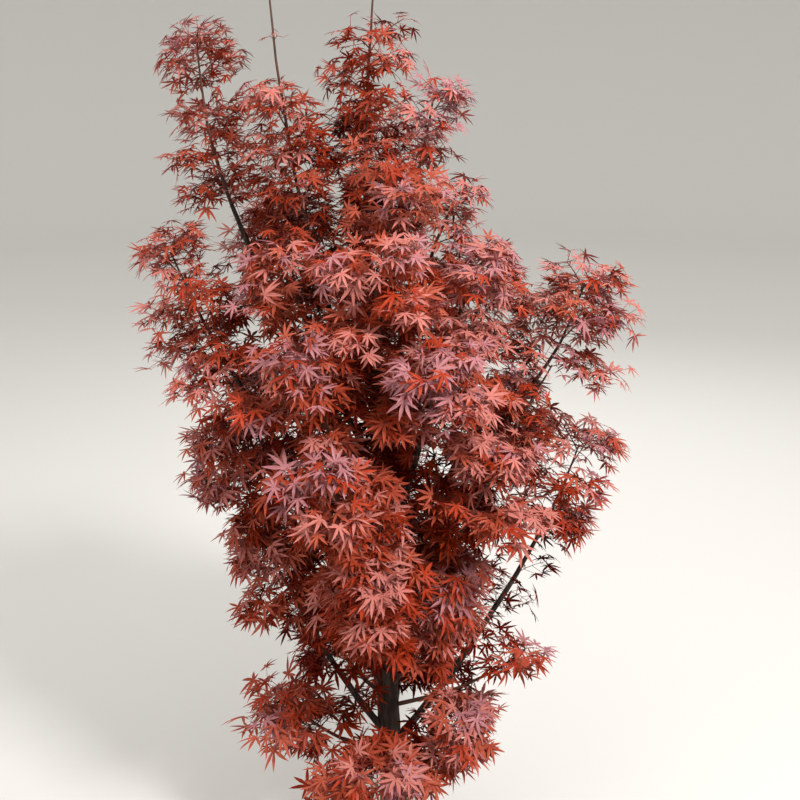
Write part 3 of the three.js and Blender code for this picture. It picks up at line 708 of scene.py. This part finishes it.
def trunk_relief(rng, heights):
    """How far the bark stands out: ridges, slow swells and the rings that old leaf nodes leave."""
    bark = TRUNK_BARK
    grid = (bark["rings"], bark["sides"])
    heights = heights[:, None]
    share = heights / TRUNK["height"]
    ridges = smooth_noise(rng, *grid, *bark["ridges"])
    ridges = ridges + bark["fine_share"] * smooth_noise(rng, *grid, *bark["fine_ridges"])
    swells = smooth_noise(rng, *grid, *bark["swells"])
    from_scar = heights % bark["scar_every"] - bark["scar_at"]
    scars = np.exp(-((from_scar / bark["scar_wide"]) ** 2))
    rough = (ridges * bark["ridge"] + swells) * (1 - bark["thins"] * share)
    relief = rough + scars * bark["scar"] * (1 - bark["scar_thins"] * share)
    return relief * lerp(bark["foot_share"], 1, np.minimum(1, heights / bark["smooth_foot"]))


def trunk_mesh(rng):
    """The trunk with its root flare and its bark, closed flat at the ground and at its tip."""
    rings, sides = TRUNK_BARK["rings"], TRUNK_BARK["sides"]
    heights = TRUNK["height"] * (np.arange(rings) / (rings - 1)) ** TRUNK_BARK["crowding"]
    angles = 2 * math.pi * np.arange(sides) / sides
    radii = trunk_radius(heights[:, None], angles[None]) + trunk_relief(rng, heights)
    around = np.stack([np.cos(angles), np.sin(angles), 0 * angles], -1)
    points = trunk_at(heights)[:, None] + radii[:, :, None] * around[None]
    points[0, :, 2] = 0
    points = np.vstack([points.reshape(-1, 3), trunk_at(0.0), trunk_at(TRUNK["height"])])
    foot, tip = len(points) - 2, len(points) - 1
    last = (rings - 1) * sides
    fans = [(foot, (i + 1) % sides, i) for i in range(sides)]
    fans += [(tip, last + i, last + (i + 1) % sides) for i in range(sides)]
    quads = tube_faces(1, rings, sides)
    return points, np.vstack([quads[:, [0, 1, 2]], quads[:, [0, 2, 3]], np.array(fans)])


def wandering(rng, curve, shares, amount):
    """Points along a curve that wander a little from it, and not at its ends."""
    knots = np.linspace(0, 1, WANDER_KNOTS)
    kinks = np.stack([np.interp(shares, knots, rng.uniform(-1, 1, len(knots))) for _ in range(3)], -1)
    return curve.at(shares) + kinks * amount * np.sin(math.pi * shares)[:, None]


def bough_mesh(rng, mass):
    """One bough, which starts inside the trunk with a swollen collar and tapers to its mass."""
    bark = BOUGH_BARK
    grid = (bark["rings"], bark["sides"])
    shares = np.linspace(0, 1, bark["rings"])
    curve = bough_curve(mass)
    middles = wandering(rng, curve, shares, bark["wander"])
    radii = lerp(bough_radius(curve), BOUGH["tip_radius"], shares)
    past_bark = np.maximum(0, shares * curve.length - trunk_radius(mass["foot"]))
    collar = bark["collar"] * np.exp(-past_bark / bark["collar_length"])
    swells = smooth_noise(rng, *grid, *bark["swells"]) * bark["swell"]
    relief = swells + smooth_noise(rng, *grid, *bark["ridges"]) * bark["ridge"]
    full = radii[:, None] + relief + collar[:, None]
    unit_rings = tube_points(middles[None], np.ones((1, bark["rings"])), bark["sides"])[0]
    points = middles[:, None] + (unit_rings - middles[:, None]) * full[:, :, None]
    return points.reshape(-1, 3), tube_faces(1, *grid)


def stem_mesh(rng):
    """The stems of all the masses."""
    shares = np.linspace(0, 1, STEM_BARK["rings"])
    lines = [wandering(rng, stem_curve(mass), shares, STEM_BARK["wander"]) for mass in MASSES]
    radii = [lerp(stem_radius(mass), STEM_BARK["tip_radius"], shares) for mass in MASSES]
    return tubes(np.array(lines), np.array(radii), STEM_BARK["sides"])


def shoot_mesh(curves, kind):
    """All the shoots of one kind, each a tapering tube."""
    shares = np.linspace(0, 1, kind["rings"])
    lines = np.array([curve.at(shares) for curve in curves])
    return tubes(lines, lerp(kind["foot_radius"], kind["tip_radius"], shares)[None], kind["sides"])


def petiole_mesh(leaves):
    """The stalks of all the leaves."""
    lines = np.stack([leaves["foot"], leaves["middle"]], 1)
    return tubes(lines, np.array([[PETIOLE["foot_radius"], PETIOLE["tip_radius"]]]), PETIOLE["sides"])


def leaf_mesh(leaves, tint):
    """All the leaves of one tint."""
    parts = []
    for kind, (shape, triangles) in enumerate(SHAPES):
        chosen = (leaves["tint"] == tint) & (leaves["shape"] == kind)
        frames = np.stack([leaves[axis][chosen] for axis in ("forward", "side", "normal")], 1)
        made = np.einsum("vk,nkc->nvc", shape, frames) * leaves["size"][chosen][:, None, None]
        made = made + leaves["middle"][chosen][:, None]
        steps = np.arange(len(made))[:, None, None] * len(shape)
        parts.append((made.reshape(-1, 3), (triangles[None] + steps).reshape(-1, 3)))
    return joined(parts)


# Materials

def principled(name, rough):
    """A plain new material, with its node tree and its shader."""
    material = bpy.data.materials.new(name)
    material.use_nodes = True
    shader = material.node_tree.nodes["Principled BSDF"]
    shader.inputs["Roughness"].default_value = rough
    return material, material.node_tree, shader


def srgb(red, green, blue):
    """A colour given from 0 to 255, as the linear values that a shader takes."""
    def linear(value):
        value = value / 255
        return value / 12.92 if value <= 0.04045 else ((value + 0.055) / 1.055) ** 2.4

    return (linear(red), linear(green), linear(blue), 1.0)


def noise(tree, mapping, scale, detail):
    """A noise texture that is laid on by a mapping."""
    texture = tree.nodes.new("ShaderNodeTexNoise")
    texture.inputs["Scale"].default_value = scale
    texture.inputs["Detail"].default_value = detail
    tree.links.new(mapping.outputs["Vector"], texture.inputs["Vector"])
    return texture.outputs["Fac"]


DRIFT = dict(low=0.32, high=0.68, detail=4)
FINE_BUMP = dict(depth=0.001, detail=6)


def drift_colours(tree, mapping, shader, colours, scale):
    """Drifts the base colour between two or three close colours."""
    drift = noise(tree, mapping, scale, DRIFT["detail"])
    ramp = tree.nodes.new("ShaderNodeValToRGB")
    stops = ramp.color_ramp.elements
    stops[0].position, stops[1].position = DRIFT["low"], DRIFT["high"]
    stops[0].color, stops[1].color = colours[0], colours[-1]
    if len(colours) == 3:
        stops.new(0.5).color = colours[1]
    tree.links.new(drift, ramp.inputs["Fac"])
    tree.links.new(ramp.outputs["Color"], shader.inputs["Base Color"])


def roughen(tree, mapping, shader, bump, scale):
    """Adds a fine bump."""
    height = noise(tree, mapping, scale, FINE_BUMP["detail"])
    bumped = tree.nodes.new("ShaderNodeBump")
    bumped.inputs["Strength"].default_value = bump
    bumped.inputs["Distance"].default_value = FINE_BUMP["depth"]
    tree.links.new(height, bumped.inputs["Height"])
    tree.links.new(bumped.outputs["Normal"], shader.inputs["Normal"])


def mottled(name, rough, colours, scale, stretch=(1, 1, 1), bump=0.0, bump_scale=1.0, specular=0.5):
    """A material whose colour drifts a little over the piece, with a fine bump where one is given."""
    material, tree, shader = principled(name, rough)
    shader.inputs["Specular IOR Level"].default_value = specular
    place = tree.nodes.new("ShaderNodeTexCoord")
    mapping = tree.nodes.new("ShaderNodeMapping")
    mapping.inputs["Scale"].default_value = stretch
    tree.links.new(place.outputs["Object"], mapping.inputs["Vector"])
    drift_colours(tree, mapping, shader, colours, scale)
    if bump:
        roughen(tree, mapping, shader, bump, bump_scale)
    return material


# Tints are dealt out by spray, and they paint the crown's light and shade into the leaves' colour:
# the deep tints paint shade on inner, low sprays, the paler and less saturated ones paint sunlight
# on outer, high sprays, and mauve paints a sheen of reflected sky on the most sunlit. Each has its two
# colours, the painted light of the sprays that mostly take it, and how often it is dealt. Scarlet comes
# last: a few sprays anywhere take it, painted light shining through the leaves.
TINTS = [
    ("maroon", [srgb(82, 9, 0), srgb(102, 18, 0)], 0.2, 1),
    ("wine", [srgb(118, 30, 6), srgb(140, 44, 14)], 0.42, 1),
    ("garnet", [srgb(142, 52, 33), srgb(159, 68, 46)], 0.55, 0.62),
    ("crimson", [srgb(154, 66, 47), srgb(172, 82, 60)], 0.66, 0.66),
    ("rose", [srgb(170, 97, 89), srgb(186, 112, 103)], 0.78, 1.1),
    ("mauve", [srgb(156, 98, 104), srgb(174, 115, 119)], 0.92, 0.6),
    ("scarlet", [srgb(150, 45, 20), srgb(170, 61, 34)], 0.55, None),
]
MAROON, WINE, GARNET = range(3)
SCARLET = len(TINTS) - 1
# The share of sprays anywhere that take scarlet, painted light shining through the leaves.
SCARLET_SHARE = 0.1
# The shares of maroon, wine, garnet and scarlet on the spurs: painted shade in the crown's inside, with
# some painted light shining through.
SPUR_TINT_SHARES = [0.42, 0.3, 0.1, 0.18]
# How much painted light a spray gets: more the further out and higher it stands in its mass, with a
# random stray. Less means painted shade.
PAINTED_LIGHT_BY_PLACE = dict(least=0.12, out=0.62, high=0.2, stray=0.1, spread=0.11)
LEAF_FINISH = dict(rough=0.5, scale=55)

# The specular level of the tint with the most painted light. Deeper tints, which paint shade, shine
# less, so that reflections do not grey their painted shade.
SHINE = 0.3


def tint_of(rng, mass, place):
    """A spray's tint, from how far out and how high it stands in its mass: painted light where it stands
    out and high, painted shade where it stands in and low.
    """
    out = np.hypot(*from_trunk(place)[:2]) / (mass["out"] + mass["wide"])
    high = 0.5 + 0.5 * ((place[2] - mass["height"]) / mass["tall"])
    painted_light = PAINTED_LIGHT_BY_PLACE["out"] * out + PAINTED_LIGHT_BY_PLACE["high"] * high + PAINTED_LIGHT_BY_PLACE["least"]
    painted_light += rng.normal(0, PAINTED_LIGHT_BY_PLACE["stray"])
    # A few sprays anywhere take scarlet, painted light shining through the leaves.
    if rng.random() < SCARLET_SHARE:
        return SCARLET
    centres, often = (np.array([tint[k] for tint in TINTS[:SCARLET]]) for k in (2, 3))
    weights = np.exp(-(((painted_light - centres) / PAINTED_LIGHT_BY_PLACE["spread"]) ** 2)) * often
    return int(rng.choice(SCARLET, p=weights / weights.sum()))


# The tree

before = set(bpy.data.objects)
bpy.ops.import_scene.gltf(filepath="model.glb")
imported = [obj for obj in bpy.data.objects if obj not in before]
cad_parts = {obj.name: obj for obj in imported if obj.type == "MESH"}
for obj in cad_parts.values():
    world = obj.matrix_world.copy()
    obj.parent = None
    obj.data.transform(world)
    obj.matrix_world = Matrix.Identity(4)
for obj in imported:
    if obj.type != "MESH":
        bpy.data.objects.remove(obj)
cad_low, cad_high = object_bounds()
LOW = np.array(cad_low) / MM
HIGH = np.array(cad_high) / MM

shape_rng = np.random.default_rng(SEED["shapes"])
SHAPES = [leaf_shape(shape_rng) for _ in range(SHAPE_COUNT)]


def nodes_of(kind):
    """The frame's nodes whose names start with a word."""
    return sorted(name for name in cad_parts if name.startswith(kind))


def dress(name, mesh, material, nodes, smooth=True):
    """Adds a piece of the given points and faces, which stands for some nodes of the frame."""
    piece = mesh_piece(name, *mesh, material, smooth)
    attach(piece, "root")
    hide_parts(*nodes)


curves, leaves = grow()
leaves = clear_leaves(leaves, limb_bones())
leaf_nodes = nodes_of("leaves_")

for number, (tint, colours, painted_light, _) in enumerate(TINTS):
    material = mottled("leaf_" + tint, colours=colours, specular=SHINE * painted_light, **LEAF_FINISH)
    dress("foliage_" + tint, leaf_mesh(leaves, number), material, leaf_nodes, smooth=False)

petiole_red = mottled("petiole", 0.5, [srgb(140, 36, 22), srgb(168, 56, 38)], 30)
dress("petioles", petiole_mesh(leaves), petiole_red, leaf_nodes)

twig_red = mottled("twig", 0.5, [srgb(84, 28, 14), srgb(118, 46, 26)], 40)
twigs = joined([shoot_mesh(curves["twig"], TWIG), shoot_mesh(curves["side"], SIDE)])
dress("twigs", twigs, twig_red, leaf_nodes)

bark_rng = np.random.default_rng(SEED["bark"])
young_bark = mottled("young_bark", 0.6, [srgb(60, 34, 24), srgb(90, 50, 36)], 60)
dress("stems", stem_mesh(bark_rng), young_bark, leaf_nodes)

# The bark's own dark grey-brown, made darker still as painted shade: it stands for the shade that the
# crown casts on the trunk and boughs.
bark = mottled(
    "bark", 0.8, [srgb(34, 24, 20), srgb(54, 40, 34), srgb(80, 64, 54)], 26, stretch=(6, 6, 1),
    bump=0.5, bump_scale=70,
)
dress("trunk_bark", trunk_mesh(bark_rng), bark, nodes_of("trunk"))
boughs = joined([bough_mesh(bark_rng, mass) for mass in MASSES if "on" not in mass])
dress("boughs_bark", boughs, bark, nodes_of("bough_"))

# Floor, light and camera, in metres

FLOOR = dict(flat_rings=(0.001, 3, 6), flat=9, bend=3, bend_rings=12, edge=(12, 6), sides=96,
             drop=0.0005, colour=(0.62, 0.62, 0.61, 1))
WORLD = dict(colour=(1.0, 0.965, 0.91, 1), strength=0.94)
LIGHTS = [
    dict(name="key", place=(1.9, -2.3, 4.0), aim=1.0, size=0.8, watts=204, colour=(1.0, 0.97, 0.94)),
    dict(name="fill", place=(-3.0, -2.0, 2.2), aim=0.9, size=2.5, watts=30, colour=(1.0, 0.98, 0.96)),
    dict(name="back", place=(0.8, 3.2, 3.0), aim=1.0, size=2.0, watts=50, colour=(1.0, 0.97, 0.93)),
]
CAMERA = dict(place=(0.012, -2.05, 1.6), looks_down=16.8, angle=39.96, nearest=0.05)


def floor_mesh():
    """A round floor that bends up into a low wall all round."""
    turn = np.radians(np.linspace(0, 90, FLOOR["bend_rings"]))
    bend, sides = FLOOR["bend"], FLOOR["sides"]
    rim = np.stack([FLOOR["flat"] + bend * np.sin(turn), bend - bend * np.cos(turn)], 1)
    profile = np.vstack([[(out, 0) for out in FLOOR["flat_rings"]], rim, [FLOOR["edge"]]])
    around = 2 * math.pi * np.arange(sides) / sides
    out, up = profile[:, None, 0], profile[:, None, 1] - FLOOR["drop"]
    up = np.broadcast_to(up, (len(profile), sides))
    bowl = np.stack([out * np.cos(around), out * np.sin(around), up], -1)
    return bowl.reshape(-1, 3) / MM, tube_faces(1, len(profile), sides)


def area_light(name, place, aim, size, watts, colour):
    """A square lamp that is turned to a point at the height `aim` over the origin."""
    light = bpy.data.lights.new(name, "AREA")
    light.size = size
    light.energy = watts
    light.color = colour
    lamp = bpy.data.objects.new(name, light)
    bpy.context.scene.collection.objects.link(lamp)
    lamp.location = place
    lamp.rotation_euler = (Vector((0, 0, aim)) - Vector(place)).to_track_quat("-Z", "Y").to_euler()


floor_material, _, floor_shader = principled("pale_floor", 0.9)
floor_shader.inputs["Base Color"].default_value = FLOOR["colour"]
mesh_piece("floor", *floor_mesh(), floor_material, True)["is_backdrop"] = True

world = bpy.data.worlds.new("studio")
bpy.context.scene.world = world
world.use_nodes = True
sky = world.node_tree.nodes["Background"]
sky.inputs["Color"].default_value = WORLD["colour"]
sky.inputs["Strength"].default_value = WORLD["strength"]

for light in LIGHTS:
    area_light(**light)

camera_data = bpy.data.cameras.new("camera")
camera_data.sensor_fit = "HORIZONTAL"
camera_data.angle = math.radians(CAMERA["angle"])
camera_data.clip_start = CAMERA["nearest"]
camera = bpy.data.objects.new("camera", camera_data)
bpy.context.scene.collection.objects.link(camera)
camera.location = CAMERA["place"]
camera.rotation_euler = (math.radians(90 - CAMERA["looks_down"]), 0, 0)
bpy.context.scene.camera = camera
bpy.context.scene.view_settings.view_transform = "Standard"

triangles = sum(len(polygon.vertices) - 2 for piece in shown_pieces() for polygon in piece.data.polygons)
print("leaves", len(leaves["size"]), "triangles", triangles)
